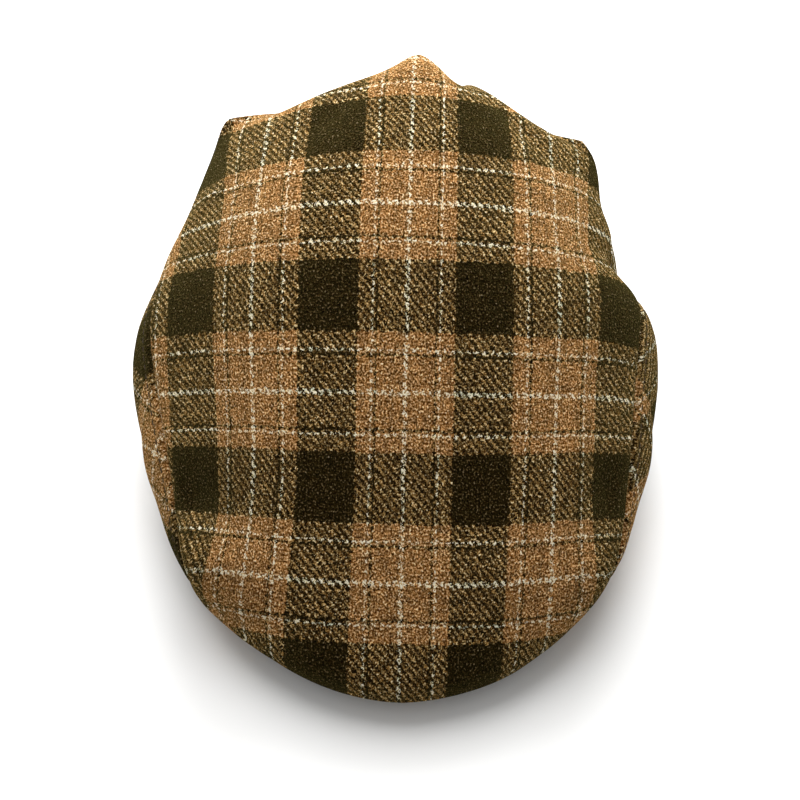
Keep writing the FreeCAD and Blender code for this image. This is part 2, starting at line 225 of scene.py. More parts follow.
def brim_side_edge(side, share):
    return read_table(BRIM_SIDE, share) * point(-side, 1.0, 1.0)


def brim_edge(along):
    """Edge of the brim, from its left corner (-1) round the tip to its right corner (1)."""
    front = top_outside(np.clip(along / BRIM_FRONT_SHARE, -1.0, 1.0), 0.0)
    share = np.clip((np.abs(along) - BRIM_FRONT_SHARE) / (1.0 - BRIM_FRONT_SHARE), 0.0, 1.0)
    side = brim_side_edge(np.sign(along), share * BRIM_SIDE_SHARE)
    return np.where((np.abs(along) <= BRIM_FRONT_SHARE)[..., None], front, side)


def brim_underside(along, inward):
    """Underside of the brim: inward 0 at its edge, 1 where it meets the head opening."""
    joint = head_point(along * BRIM_CORNER)
    joint[..., 2] = np.maximum(joint[..., 2], CORNER_LIFT)
    return mix(brim_edge(along), joint, inward[..., None])


# ---- the side panels ----
SIDE_SEAM_SHARE = 0.80
SIDE_START = 0.012
SIDE_SECTIONS = [
    (0.00, (1, 1, 1, 1)),
    (0.08, (5, 5, 7, 3)),
    (0.20, (12, 12, 18, 5)),
    (0.34, (17, 16, 32, 12)),
    (0.46, (16, 20, 32, 20)),
    (0.60, (9, 22, 24, 20)),
    (0.80, (2, 24, 16, 22)),
    (1.00, (2, 26, 12, 24)),
]
BRIM_CENTRE_Y = -49.0
BRIM_SIDEWAYS = 0.35


def side_upper_edge(side, along):
    across = side * np.clip((1.0 - along) / (1.0 - SIDE_SEAM_SHARE), 0.0, 1.0)
    return top_outside(across, np.clip(along / SIDE_SEAM_SHARE, 0.0, 1.0))


def side_lower_edge(side, along):
    beside_brim = brim_side_edge(side, np.minimum(along, BRIM_SIDE_SHARE))
    share = np.clip((along - BRIM_SIDE_SHARE) / (1.0 - BRIM_SIDE_SHARE), 0.0, 1.0)
    degrees = mix(BRIM_CORNER, 180.0, share)
    beside_head = head_point(side * degrees)
    beside_head[..., 2] = CORNER_LIFT * np.maximum(0.0, (RISE_ENDS - degrees) / (RISE_ENDS - BRIM_CORNER))
    return np.where((along < BRIM_SIDE_SHARE)[..., None], beside_brim, beside_head)


def outward_at(side, along):
    """Level direction away from the middle of the cap."""
    low = side_lower_edge(side, along)
    from_head = unit(point(low[..., 0] / HEAD_HALF_WIDTH**2,
                           (low[..., 1] - HEAD_CENTRE_Y) / HEAD_HALF_LENGTH**2, 0.0))
    high = side_upper_edge(side, along)
    from_brim = unit(point(high[..., 0], (high[..., 1] - BRIM_CENTRE_Y) * BRIM_SIDEWAYS, 0.0))
    share = np.clip(along / BRIM_SIDE_SHARE, 0.0, 1.0)[..., None] ** 2
    return unit(mix(from_brim, from_head, share))


def side_outside(side, along, down):
    """Outside of a side panel: along 0 (front) to 1 (back), down 0 (seam) to 1 (lower edge)."""
    along, down = matched(along, down)
    upper = side_upper_edge(side, along)
    lower = side_lower_edge(side, along)
    handles = read_table(SIDE_SECTIONS, along)
    outward = outward_at(side, along)
    return bezier(upper, upper + outward * handles[..., 0:1] - UP * handles[..., 1:2],
                  lower + outward * handles[..., 2:3] + UP * handles[..., 3:4], lower, down[..., None])


# ---- the lining ----
LINING_INSET = 3.4
LINING_RISE = 2.0          # how far above the sweatband the lining's lower edge is
LINING_HANDLE = 0.6


def lining_ring(degrees):
    return head_point(degrees, LINING_INSET, BAND_HEIGHT + LINING_RISE)


def ring_angle(x, low, high):
    """Angle between low and high at which the ring is x away from the middle."""
    low = np.full(np.shape(x), float(low))
    high = np.full(np.shape(x), float(high))
    rising = lining_ring(high)[..., 0] > lining_ring(low)[..., 0]
    for _ in range(30):
        middle = 0.5 * (low + high)
        below = (lining_ring(middle)[..., 0] < x) == rising
        low = np.where(below, middle, low)
        high = np.where(below, high, middle)
    return low


LINING_FRONT_CORNER = float(ring_angle(LINING_STRIP, 0.0, 90.0))
LINING_BACK_CORNER = float(ring_angle(LINING_STRIP, 90.0, 180.0))
CENTRE_PLACES = [row[1][1] for row in SECTIONS]
CENTRE_HEIGHTS = [row[1][2] for row in SECTIONS]


def lining_top_surface(across, along):
    """The lining's top piece, from the front of the sweatband (0) to its back (1)."""
    across, along = matched(across, along)
    x = LINING_STRIP * across
    front = lining_ring(ring_angle(np.abs(x), 0.0, LINING_FRONT_CORNER))
    back = lining_ring(ring_angle(np.abs(x), LINING_BACK_CORNER, 180.0))
    turn = np.pi * along
    reach = np.abs(np.cos(turn)) ** (2 / LINING_SQUARENESS) * -np.sign(np.cos(turn))
    height = np.abs(np.sin(turn)) ** (2 / LINING_SQUARENESS)
    share = 0.5 + 0.5 * reach
    y = mix(front[..., 1], back[..., 1], share)
    floor = mix(front[..., 2], back[..., 2], share)
    crown = smooth_curve(CENTRE_PLACES, CENTRE_HEIGHTS, y)[..., 0]
    ceiling = crown - LINING_DROP - LINING_SIDE_FALL * (x / 100) ** 2
    return point(x, y, mix(floor, ceiling, height))


def lining_side_surface(side, along, down):
    along, down = matched(along, down)
    upper = lining_top_surface(side, along)
    lower = lining_ring(side * mix(LINING_FRONT_CORNER, LINING_BACK_CORNER, along))
    drop = (lower - upper) * UP
    across = lower - upper - drop
    return bezier(upper, upper + across * LINING_HANDLE, lower - drop * LINING_HANDLE, lower,
                  down[..., None])


# ---- grids of points ----
def crowd_ends(count, share):
    """Numbers from 0 to 1, closer together near both ends."""
    t = np.linspace(0.0, 1.0, count)
    return t - share * np.sin(2 * np.pi * t) / (2 * np.pi)


def grid_normals(grid, wrap=False):
    if wrap:
        along_columns = np.roll(grid, -1, axis=1) - np.roll(grid, 1, axis=1)
    else:
        along_columns = np.gradient(grid, axis=1)
    return unit(np.cross(along_columns, np.gradient(grid, axis=0)))


def lengths_down(grid):
    """Distance of each point from the first row, measured down its column."""
    steps = np.linalg.norm(np.diff(grid, axis=0), axis=2)
    return np.vstack([np.zeros(grid.shape[1]), np.cumsum(steps, axis=0)])


def lengths_along(grid):
    return lengths_down(grid.transpose(1, 0, 2)).T


def run_of(line):
    """Distance of each point of a line from its first one."""
    return lengths_down(line[:, None])[:, 0]


def line_at(grid, normals, distances, places):
    """Points where each column's distances reach its place, and the normals there."""
    rows, columns = distances.shape
    each = np.arange(columns)
    places = np.broadcast_to(places, columns)
    where = np.array([np.interp(places[k], distances[:, k], np.arange(rows)) for k in each])
    low = np.minimum(np.floor(where).astype(int), rows - 2)
    return mix(grid[low, each], grid[low + 1, each], (where - low)[:, None]), normals[low, each]


def soften(grid, rounds):
    """Evens out the inside of a grid and leaves its border."""
    for _ in range(rounds):
        middle = grid[1:-1, 1:-1]
        around = (grid[:-2, 1:-1] + grid[2:, 1:-1] + grid[1:-1, :-2] + grid[1:-1, 2:]) / 4
        grid = grid.copy()
        grid[1:-1, 1:-1] = 0.5 * middle + 0.5 * around
    return grid


NOISE_CELLS = 32
NOISE_LATTICE = np.random.default_rng(7).uniform(-1.0, 1.0, (NOISE_CELLS,) * 3)


def soft_noise(places, size, shift=0.0):
    """Smooth unevenness from -1 to 1, with lumps of about the given size."""
    p = places / size + shift
    cell = np.floor(p).astype(int)
    f = p - cell
    f = f * f * (3 - 2 * f)
    total = 0.0
    for corner in itertools.product((0, 1), repeat=3):
        x, y, z = np.moveaxis((cell + corner) % NOISE_CELLS, -1, 0)
        total = total + NOISE_LATTICE[x, y, z] * np.where(corner, f, 1 - f).prod(axis=-1)
    return total


# ---- laying cloth flat, to find where its threads run ----
LINKS = [((0, 1), 1.0), ((1, 0), 1.0), ((1, 1), 0.35), ((1, -1), 0.35)]


def linked(grid, step):
    """The two ends of every link that goes step (rows, columns) across the grid."""
    down, across = step
    rows, columns = grid.shape[:2]
    if across >= 0:
        return grid[:rows - down, :columns - across], grid[down:, across:]
    return grid[:rows - down, -across:], grid[down:, :columns + across]


def relax_flat(flat, places, rounds):
    """Moves flat points until neighbours are as far apart as they are on the cloth."""
    rests = [np.linalg.norm(np.subtract(*linked(places, step)), axis=2) for step, _ in LINKS]
    flat = flat.copy()
    for _ in range(rounds):
        push = np.zeros_like(flat)
        total = np.zeros(flat.shape[:2])
        for (step, weight), rest in zip(LINKS, rests):
            start, end = linked(flat, step)
            reach = end - start
            length = np.linalg.norm(reach, axis=2)
            move = reach * (0.5 * weight * (length - rest) / (length + 1e-9))[..., None]
            push_start, push_end = linked(push, step)
            push_start += move
            push_end -= move
            total_start, total_end = linked(total, step)
            total_start += weight
            total_end += weight
        flat += push / total[..., None]
    return flat


def resample(grid, rows, columns):
    """Grid read at places from 0 to 1 down its rows and across its columns."""
    row_count, column_count, width = grid.shape
    down = smooth_curve(np.linspace(0, 1, row_count), grid.reshape(row_count, -1), rows)
    turned = down.reshape(len(rows), column_count, width).transpose(1, 0, 2)
    both = smooth_curve(np.linspace(0, 1, column_count), turned.reshape(column_count, -1), columns)
    return both.reshape(len(columns), len(rows), width).transpose(1, 0, 2)


def lay_flat(surface, guess):
    """Flat places, in millimetres, of surface(u, v) on an even grid of u and v in 0..1."""
    flat = None
    for rows, columns, rounds in ((15, 11, 400), (29, 21, 300), (57, 41, 200)):
        v, u = np.linspace(0, 1, rows), np.linspace(0, 1, columns)
        places = surface(u[None, :], v[:, None])
        if flat is None:
            flat = guess(u[None, :], v[:, None])
        else:
            flat = resample(flat, v, u)
        flat = relax_flat(flat, places, rounds)
    return flat


def lay_panel_flat(surface, row):
    """Lays a panel flat from a first guess: its length along one row, and its lengths down."""
    def guess(u, v):
        place = surface(u, v)
        return point(lengths_along(place)[row][None, :], -lengths_down(place))

    return lay_flat(surface, guess)


def flat_area(flat):
    """Area of a flat grid, in square metres."""
    a = flat[1:, 1:] - flat[:-1, :-1]
    b = flat[1:, :-1] - flat[:-1, 1:]
    return float(np.abs(a[..., 0] * b[..., 1] - a[..., 1] * b[..., 0]).sum() / 2) * MM * MM


def turned(flat, degrees):
    turn = math.radians(degrees)
    x = flat[..., 0] * math.cos(turn) - flat[..., 1] * math.sin(turn)
    y = flat[..., 0] * math.sin(turn) + flat[..., 1] * math.cos(turn)
    return point(x, y)


def declare_sheet(flat):
    """Works out the area that the cloth has when it is laid flat, and does nothing more with it."""
    flat_area(flat)


# ---- meshes ----
def quads(index):
    corners = [index[:-1, :-1], index[:-1, 1:], index[1:, 1:], index[1:, :-1]]
    return np.stack([corner.ravel() for corner in corners], axis=1)


def strip(first, second):
    """Faces between two loops of points; they carry on from faces that run along the first."""
    return np.stack([np.roll(first, -1), first, second, np.roll(second, -1)], axis=1)


def add_object(name, data):
    item = bpy.data.objects.new(name, data)
    bpy.context.scene.collection.objects.link(item)
    return item


def add_mesh(name, node, points, faces, material, threads):
    """Smooth mesh that stands for a CAD node, with its material's slot.  It also holds each point's
    place on the flat cloth, as "thread"."""
    mesh = bpy.data.meshes.new(name)
    mesh.from_pydata((points * MM).tolist(), [], faces)
    mesh.polygons.foreach_set("use_smooth", np.ones(len(faces), bool))
    attribute = mesh.attributes.new("thread", "FLOAT_VECTOR", "POINT")
    flat = np.zeros((len(points), 3), np.float32)
    flat[:, :2] = threads
    attribute.data.foreach_set("vector", flat.ravel())
    mesh.materials.append(material)
    piece = add_object(name, mesh)
    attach(piece, "root")
    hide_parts(node)
    return piece


EDGE_BULGE = 0.3           # how far a cloth's edge stands out, by its thickness


def cloth_piece(name, node, outer, thickness, threads, material, outward=1, wrap=False):
    """Closed layer of cloth below a grid of points, with rounded edges.  wrap joins the last
    column to the first.  outward is -1 where the grid's own normals point into the cloth."""
    rows, columns = outer.shape[:2]
    normals = grid_normals(outer, wrap)
    inner = outer - normals * outward * thickness
    count = rows * columns
    index = np.arange(count).reshape(rows, columns)
    closed = np.hstack([index, index[:, :1]]) if wrap else index
    if wrap:
        loops = [index[0], index[-1][::-1]]
    else:
        loops = [np.concatenate([index[0], index[1:, -1], index[-1, -2::-1], index[-2:0:-1, 0]])]
    flat_outer, flat_inner = outer.reshape(-1, 3), inner.reshape(-1, 3)
    flat_threads = threads.reshape(-1, 2)
    points = [flat_outer, flat_inner]
    point_threads = [flat_threads, flat_threads]
    faces = [quads(closed), quads(closed)[:, ::-1] + count]
    made = 2 * count
    for loop in loops:
        tangent = np.roll(flat_outer[loop], -1, axis=0) - np.roll(flat_outer[loop], 1, axis=0)
        away = unit(np.cross(tangent, normals.reshape(-1, 3)[loop]))
        points.append((flat_outer[loop] + flat_inner[loop]) / 2 + away * thickness * EDGE_BULGE)
        point_threads.append(flat_threads[loop])
        middle = made + np.arange(len(loop))
        faces += [strip(loop, middle), strip(middle, loop + count)]
        made += len(loop)
    faces = np.vstack(faces)
    if outward < 0:
        faces = faces[:, ::-1]
    return add_mesh(name, node, np.vstack(points), faces.tolist(), material,
                    np.vstack(point_threads))


def rolled_edge(edge, outward, radius, turn, tail, steps=8, tail_steps=3, arrival=None):
    """Rows that roll cloth under at an edge: first round to turn degrees below level, then straight
    on for tail millimetres.  radius, turn and tail are numbers, one for each point of the edge.
    arrival is the direction in which the cloth comes to the edge; without it, straight down."""
    start = np.zeros(len(edge))
    if arrival is not None:
        start = np.degrees(np.arcsin(np.clip((arrival * outward).sum(axis=1), -0.5, 0.9)))

    def spoke(degrees):
        angle = np.radians(degrees)[:, None]
        return (outward * np.cos(angle) + UP * np.sin(angle)) * radius[:, None]

    centre = edge - spoke(start)
    rows = [centre + spoke(mix(start, -turn, (k + 0.5) / (steps - 0.5))) for k in range(steps)]
    end = np.radians(-turn)[:, None]
    onward = outward * np.sin(end) - UP * np.cos(end)
    rows += [rows[-1] + onward * (tail * k / tail_steps)[:, None] for k in range(1, tail_steps + 1)]
    return np.stack(rows)


STITCH_SIDES = 8
STITCH_RINGS = (0.0, 0.06, 0.2, 0.4, 0.6, 0.8, 0.94, 1.0)


def stitch_points(start, end, up):
    """One stitch: a short rounded thread that lies on the cloth and dips into it at both ends."""
    reach = end - start
    forward = unit(reach)
    side = unit(np.cross(up, forward))
    above = np.cross(forward, side)
    angles = np.linspace(0, 2 * np.pi, STITCH_SIDES, endpoint=False)[:, None]
    rings = []
    for place in STITCH_RINGS:
        bulge = math.sin(math.pi * (0.12 + 0.76 * place))
        thick = STITCH_RADIUS * (0.25 + 0.75 * min(1.0, 8 * min(place, 1 - place)) ** 0.5)
        middle = start + reach * place + above * STITCH_RADIUS * (1.5 * bulge - 1.2)
        rings.append(middle + (side * np.cos(angles) + above * np.sin(angles) * 0.8) * thick)
    return np.stack(rings)


def build_stitches(name, node, line, up, material):
    """A row of stitches along a line of points, each with the cloth's normal there."""
    run = run_of(line)

    def read(rows, distance):
        return np.array([np.interp(distance, run, rows[:, axis]) for axis in range(3)])

    points, faces, threads = [], [], []
    made = 0
    for k in range(int(run[-1] / STITCH_PITCH)):
        first = STITCH_PITCH * (k + 0.1)
        last = first + STITCH
        rings = stitch_points(read(line, first), read(line, last), unit(read(up, (first + last) / 2)))
        index = made + np.arange(rings[..., 0].size).reshape(rings.shape[:2])
        points.append(rings.reshape(-1, 3))
        places = point(np.linspace(first, last, len(rings))[:, None], np.linspace(0, 1, STITCH_SIDES))
        threads.append(places.reshape(-1, 2))
        faces += quads(np.hstack([index, index[:, :1]])).tolist()
        faces += [index[0][::-1].tolist(), index[-1].tolist()]
        made += index.size
    add_mesh(name, node, np.vstack(points), faces, material, np.vstack(threads))


# ---- materials ----
def linear(*colour):
    """Linear colour from red, green and blue as a screen shows them, from 0 to 255."""
    shares = [value / 255 for value in colour]
    return [s / 12.92 if s <= 0.04045 else ((s + 0.055) / 1.055) ** 2.4 for s in shares] + [1.0]


class Wire:
    """Output of a material's node.  Sums and products of wires and numbers make math nodes."""

    def __init__(self, shader, socket):
        self.shader = shader
        self.socket = socket

    def __add__(self, other):
        return self.shader.math("ADD", self, other)

    def __sub__(self, other):
        return self.shader.math("SUBTRACT", self, other)

    def __rsub__(self, other):
        return self.shader.math("SUBTRACT", other, self)

    def __mul__(self, other):
        return self.shader.math("MULTIPLY", self, other)

    def __truediv__(self, other):
        return self.shader.math("DIVIDE", self, other)

    def __pow__(self, other):
        return self.shader.math("POWER", self, other)


class Shader:
    """Short ways to wire up one material's nodes."""

    def __init__(self, name):
        self.material = bpy.data.materials.new(name)
        self.material.use_nodes = True
        self.tree = self.material.node_tree
        self.tree.nodes.clear()
        output = self.tree.nodes.new("ShaderNodeOutputMaterial")
        self.surface = self.tree.nodes.new("ShaderNodeBsdfPrincipled")
        self.tree.links.new(self.surface.outputs[0], output.inputs["Surface"])

    def put(self, socket, value):
        if isinstance(value, Wire):
            self.tree.links.new(value.socket, socket)
        else:
            socket.default_value = value

    def node(self, kind, inputs, output=0, **settings):
        """Adds a node and returns the wire from one of its outputs."""
        made = self.tree.nodes.new(kind)
        for key, value in settings.items():
            setattr(made, key, value)
        for key, value in inputs.items():
            self.put(made.inputs[key], value)
        return Wire(self, made.outputs[output])

    def math(self, operation, *values):
        return self.node("ShaderNodeMath", dict(enumerate(values)), operation=operation)

    def wave(self, value, length):
        return self.math("SINE", value * (2 * math.pi / length))

    def vector(self, operation, a, b):
        return self.node("ShaderNodeVectorMath", {0: a, 1: b}, operation=operation)

    def combine(self, x, y, z=0.0):
        return self.node("ShaderNodeCombineXYZ", {0: x, 1: y, 2: z})

    def split(self, vector):
        x = self.node("ShaderNodeSeparateXYZ", {0: vector})
        return x, Wire(self, x.socket.node.outputs[1])

    def thread(self):
        """Place on the flat cloth, as x and y."""
        return self.node("ShaderNodeAttribute", {}, "Vector", attribute_name="thread")

    def place(self):
        return self.node("ShaderNodeTexCoord", {}, "Object")

    def noise(self, vector, scale, detail=2.0, roughness=0.5, output="Fac"):
        inputs = {"Vector": vector, "Scale": scale, "Detail": detail, "Roughness": roughness}
        return self.node("ShaderNodeTexNoise", inputs, output)

    def ramp(self, value, stops, interpolation="LINEAR"):
        made = self.node("ShaderNodeValToRGB", {"Fac": value}, "Color")
        ramp = made.socket.node.color_ramp
        ramp.interpolation = interpolation
        while len(ramp.elements) < len(stops):
            ramp.elements.new(1.0)
        for element, (position, colour) in zip(ramp.elements, stops):
            element.position = position
            element.color = colour
        return made

    def blend(self, share, a, b, kind="MIX"):
        return self.node("ShaderNodeMix", {0: share, 6: a, 7: b}, 2, data_type="RGBA", blend_type=kind)

    def choose(self, share, a, b):
        return self.node("ShaderNodeMix", {0: share, 2: a, 3: b}, data_type="FLOAT")

    def tinted(self, colour, tint):
        return self.blend(1.0, colour, tint, "MULTIPLY")

    def shaded(self, colour, shade):
        return self.tinted(colour, self.combine(shade, shade, shade))

    def bump(self, height, distance, strength=1.0):
        inputs = {"Height": height, "Distance": distance, "Strength": strength}
        self.put(self.surface.inputs["Normal"], self.node("ShaderNodeBump", inputs))

    def look(self, colour, roughness, **sockets):
        self.put(self.surface.inputs["Base Color"], colour)
        self.put(self.surface.inputs["Roughness"], roughness)
        for key, value in sockets.items():
            self.surface.inputs[key.replace("_", " ")].default_value = value
        return self.material


TAN = linear(174, 129, 80)
DARK = linear(38, 25, 8)
WHITE = (1.7, 1.5, 1.1, 1.0)           # before its own shadows, which take it down to cream
CREAM = (0.90, 0.83, 0.66, 1.0)
PLAIN = (1.0, 1.0, 1.0, 1.0)
RAISED = (1.03, 1.29, 1.35, 1.0)       # light that a yarn catches where it stands over a dark one

# The plaid's stripes, by their first thread; warp and weft have the same ones.
STRIPES = [(0, TAN), (7, WHITE), (8, TAN), (9, DARK), (10, TAN), (24, WHITE), (26, TAN), (40, DARK),
           (41, TAN), (42, WHITE), (43, TAN), (50, DARK)]
TWILL = 4.0                # threads in one repeat of the twill


def tweed(name):
    """Woollen plaid in a two-and-two twill, coloured thread by thread and frayed by its fibres."""
    s = Shader(name)
    place = s.thread()
    for scale, reach in ((0.30, 1.4), (0.85, 3.0)):
        sway = s.vector("SUBTRACT", s.noise(place, scale, 1.0, output="Color"), (0.5, 0.5, 0.5))
        place = s.vector("ADD", place, s.vector("MULTIPLY", sway, (reach, reach, 0.0)))
    x, y = s.split(place)
    warp, weft = s.math("FLOOR", x), s.math("FLOOR", y)
    across_warp, across_weft = x - warp, y - weft
    step = s.math("FLOORED_MODULO", warp + weft, TWILL)
    past_warp = step - TWILL / 2
    loose = s.noise(s.thread(), 1.5, 1.0)
    warp_on_top = s.math("LESS_THAN", loose * 5.0 + step, TWILL)

    def thread_height(across, run):
        """Rounded across the thread, and arched along the stretch that floats on top."""
        off_middle = across * 2.0 - 1.0
        rounded = s.math("SQRT", s.math("MAXIMUM", 1.05 - off_middle * off_middle, 0.0))
        arched = s.math("ABSOLUTE", s.wave(run, TWILL))
        return rounded * (arched * 0.6 + 0.4)

    height = s.choose(warp_on_top, thread_height(across_weft, past_warp + across_warp),
                      thread_height(across_warp, step + across_weft))

    def stripe(thread):
        share = (s.math("FLOORED_MODULO", thread, float(SETT)) + 0.5) / float(SETT)
        return s.ramp(share, [(first / SETT, colour) for first, colour in STRIPES], "CONSTANT")

    def chance(a, b):
        return s.node("ShaderNodeTexWhiteNoise", {"Vector": s.combine(a, b)}, "Value",
                      noise_dimensions="2D")

    def yarn(thread, float_start, along_x, along_y):
        """The thread's colour, which differs from thread to thread, from float to float and along
        the thread."""
        own = chance(thread, 0.0) + chance(thread, float_start) * 2.5
        flecks = s.noise(s.combine(x * along_x, y * along_y), 1.0, 3.0, 0.65)
        return s.shaded(stripe(thread), own * 0.36 + flecks * 1.8 - 0.53)

    warp_yarn = yarn(warp, weft - step, 2.6, 0.7)
    weft_yarn = yarn(weft, warp - past_warp, 0.7, 2.6)
    above = s.blend(warp_on_top, weft_yarn, warp_yarn)
    below = s.blend(warp_on_top, warp_yarn, weft_yarn)
    colour = s.blend(0.25, above, below, "DARKEN")
    beneath, _ = s.split(below)
    catch = s.blend(s.math("MINIMUM", beneath * 5.0, 1.0), RAISED, PLAIN)
    colour = s.tinted(colour, catch)
    curls = s.noise(s.thread(), 1.05, 1.0)
    fibres = s.noise(place, 4.2, 3.0, 0.7)
    stray = s.math("MAXIMUM", curls - 0.56, 0.0) * 0.8
    colour = s.blend(stray, colour, TAN)
    # Painted shade: darker in the hollows between the threads and where they dip under, and redder the
    # deeper that painted shade is; times the fibres' own uneven tone.
    lit = (height * 0.85 + 0.2) * (fibres * 1.4 + 0.3) * (curls * 1.95) ** 4.0
    colour = s.tinted(colour, s.combine(lit ** 0.85, lit ** 1.1, lit ** 1.5))
    colour = s.blend(1.0, colour, CREAM, "DARKEN")
    s.bump(height + fibres + curls * 2.5, 0.0005)
    return s.look(colour, fibres * 0.2 + 0.8, Sheen_Weight=0.15, Sheen_Roughness=0.3,
                  Sheen_Tint=linear(225, 218, 130), Specular_IOR_Level=0.0)


def twisted_thread(name, colour):
    """Two-ply sewing thread."""
    s = Shader(name)
    along, around = s.split(s.thread())
    twist = s.wave(along * 1.6 + around, 1.0)
    fuzz = s.noise(s.thread(), 9.0)
    s.bump(twist + fuzz, 0.00012)
    # Painted shade in the groove of the twist, with the thread's own uneven fuzz.
    return s.look(s.shaded(colour, twist * 0.18 + fuzz * 0.5 + 0.6), fuzz * 0.3 + 0.45,
                  Specular_IOR_Level=0.2)


def grosgrain(name, colour, pitch):
    """Ribbon with fine ribs across its length, in millimetres along x and up y."""
    s = Shader(name)
    along, up = s.split(s.thread())
    rib = s.math("ABSOLUTE", s.wave(along, 2 * pitch))
    uneven = s.noise(s.thread(), 0.9, 3.0)
    fine = s.noise(s.thread(), 6.0)
    s.bump(rib + s.wave(up, 0.32) * 0.08 + fine * 0.3, 0.0002)
    # Painted shade in the grooves between the ribs, times the ribbon's own uneven tone.
    return s.look(s.shaded(colour, rib * 0.55 + uneven * 0.5 + 0.22), uneven * 0.25 + 0.5,
                  Sheen_Weight=0.15)


def satin(name, colour):
    """Smooth lining with a fine slanting grain."""
    s = Shader(name)
    along, up = s.split(s.thread())
    grain = s.wave(up * 0.45 + along, 0.42)
    streak = s.noise(s.combine(along * 2.2, up * 0.08), 1.0, 3.0, 0.6)
    s.bump(grain * 0.25 + streak, 0.00006)
    return s.look(s.shaded(colour, grain * 0.05 + streak * 0.5 + 0.7), streak * 0.2 + 0.28,
                  Sheen_Weight=0.1, Specular_IOR_Level=0.6)


def woven_label(name, width, height):
    """Blank damask label: a plain field inside a border line, with sizes in millimetres."""
    s = Shader(name)
    x, y = s.split(s.thread())
    from_side = width / 2 - s.math("ABSOLUTE", x)
    from_end = height / 2 - s.math("ABSOLUTE", y)
    from_edge = s.math("MINIMUM", from_side, from_end)
    line = s.math("GREATER_THAN", from_edge, 1.4) * s.math("LESS_THAN", from_edge, 2.1)
    grain = s.wave(x, 0.35) * s.wave(y, 0.35)
    fuzz = s.noise(s.thread(), 3.0, 3.0)
    colour = s.blend(line, linear(214, 200, 166), linear(84, 60, 34))
    s.bump(grain + fuzz, 0.00008)
    return s.look(s.shaded(colour, grain * 0.1 + fuzz * 0.3 + 0.8), fuzz * 0.2 + 0.5, Sheen_Weight=0.1)


def pressed_board(name):
    """Grey-black pressed board."""
    s = Shader(name)
    mottle = s.noise(s.place(), 160.0, 4.0, 0.7)
    fine = s.noise(s.place(), 1400.0)
    s.bump(mottle + fine * 0.5, 0.0002)
    return s.look(s.ramp(mottle, [(0.3, linear(38, 36, 34)), (0.7, linear(78, 74, 68))]),
                  fine * 0.3 + 0.45)


def pale_floor(name):
    s = Shader(name)
    cloud = s.noise(s.place(), 1.5)
    fine = s.noise(s.place(), 300.0)
    s.bump(fine, 0.00005, 0.3)
    return s.look(s.ramp(cloud, [(0.0, linear(246, 246, 246)), (1.0, linear(252, 252, 251))]),
                  fine * 0.1 + 0.8, Specular_IOR_Level=0.2)


TWEED_CLOTH = tweed("tweed_plaid")
STITCH_THREAD = twisted_thread("sewing_thread", linear(66, 50, 28))
BAND_THREAD = twisted_thread("band_thread", linear(58, 44, 28))
BAND_RIBBON = grosgrain("grosgrain", linear(66, 50, 33), 0.85)
STAY_TAPE = grosgrain("cotton_tape", linear(206, 198, 180), 0.6)
LINING_SATIN = satin("lining_satin", linear(92, 66, 42))
BOARD = pressed_board("pressed_board")


# ---- the tweed panels ----
# Folds that the worn crown has and the cloth's even shape lacks: place across and along, half
# length and half width of the fold, its direction in degrees from across, and its height.
TOP_FOLDS = [
    (-0.72, 0.160, 0.24, 0.050, 0, 5.0),       # puff at the left front
    (-0.76, 0.250, 0.22, 0.040, 0, -3.4),      # hollow behind it
    (-0.50, 0.085, 0.22, 0.030, 0, -1.2),      # and the crease in front of it
    (0.66, 0.130, 0.22, 0.045, 0, 1.8),        # smaller puff at the right front
    (0.76, 0.255, 0.14, 0.045, 0, -2.2),       # and its hollow
    (0.60, 0.360, 0.06, 0.120, 0, 1.4),        # ridge between that and the middle
    (0.40, 0.120, 0.14, 0.020, 12, -0.8),      # slanting crease right of the middle
    (-0.25, 0.90, 0.12, 0.030, 25, -1.0),      # drag lines below the centre peak
    (0.38, 0.90, 0.16, 0.025, -20, -1.2),
    (-0.70, 0.80, 0.22, 0.030, 20, 1.0),       # ridge in front of the left rear corner
]


def surface_normal(surface, u, v, step_u, step_v):
    """Normal of surface(u, v), from the points one step to each side."""
    return unit(np.cross(surface(u + step_u, v) - surface(u - step_u, v),
                         surface(u, v + step_v) - surface(u, v - step_v)))


def seam_inward(side, along):
    """Direction in which both panels roll in at the seam, by the side panel's along."""
    small = 2e-3
    across = side * np.clip((1.0 - along) / (1.0 - SIDE_SEAM_SHARE), 0.0, 1.0)
    back = np.clip(along / SIDE_SEAM_SHARE, 0.0, 1.0)
    inner_across = np.clip(across, -1 + small, 1 - small)
    inner_back = np.clip(back, small, 1 - small)
    top_normal = surface_normal(top_outside, inner_across, inner_back, small, small)
    inner_along = np.clip(along, SIDE_START, 1 - small)
    side_normal = surface_normal(lambda u, v: side_outside(side, u, v), inner_along, 0.02, small, 0.01)
    return -unit(top_normal - side * side_normal)


WRINKLES = ((34.0, 0.45, 0.0), (13.0, 0.22, 5.3), (5.0, 0.08, 9.1))    # size, height, noise shift


def wrinkles(places, from_edge):
    """Small unevenness of soft cloth, which dies out at its seams."""
    lumps = [height * soft_noise(places, size, shift) for size, height, shift in WRINKLES]
    return sum(lumps) * (1.0 - bell(from_edge, 0.0, 6.0))


# How far the blocked cloth has shifted at its sides, by the place along the panel, left and right:
# sideways, further sideways near the seams, and backward.
SHIFT_PLACES = [0.10, 0.20, 0.30, 0.45, 0.60, 0.75, 0.88]
SIDEWAYS = ([4.6, 2.0, -0.5, 1.8, 3.2, 3.9, 1.8], [3.3, 2.0, 0.2, -1.0, -1.0, -0.8, 1.1])
AT_SEAMS = ([-7.0, -12.0, -9.0, -8.0, -8.0, -9.0, -1.0], [1.0, 4.0, 5.5, 5.0, 3.0, 5.5, 0.5])
BACKWARD = ([4.5, 4.5, 3.0, 0.5, 0.0, -6.0, -7.0], [6.5, 5.5, 4.0, 2.0, 0.5, 0.0, 0.0])


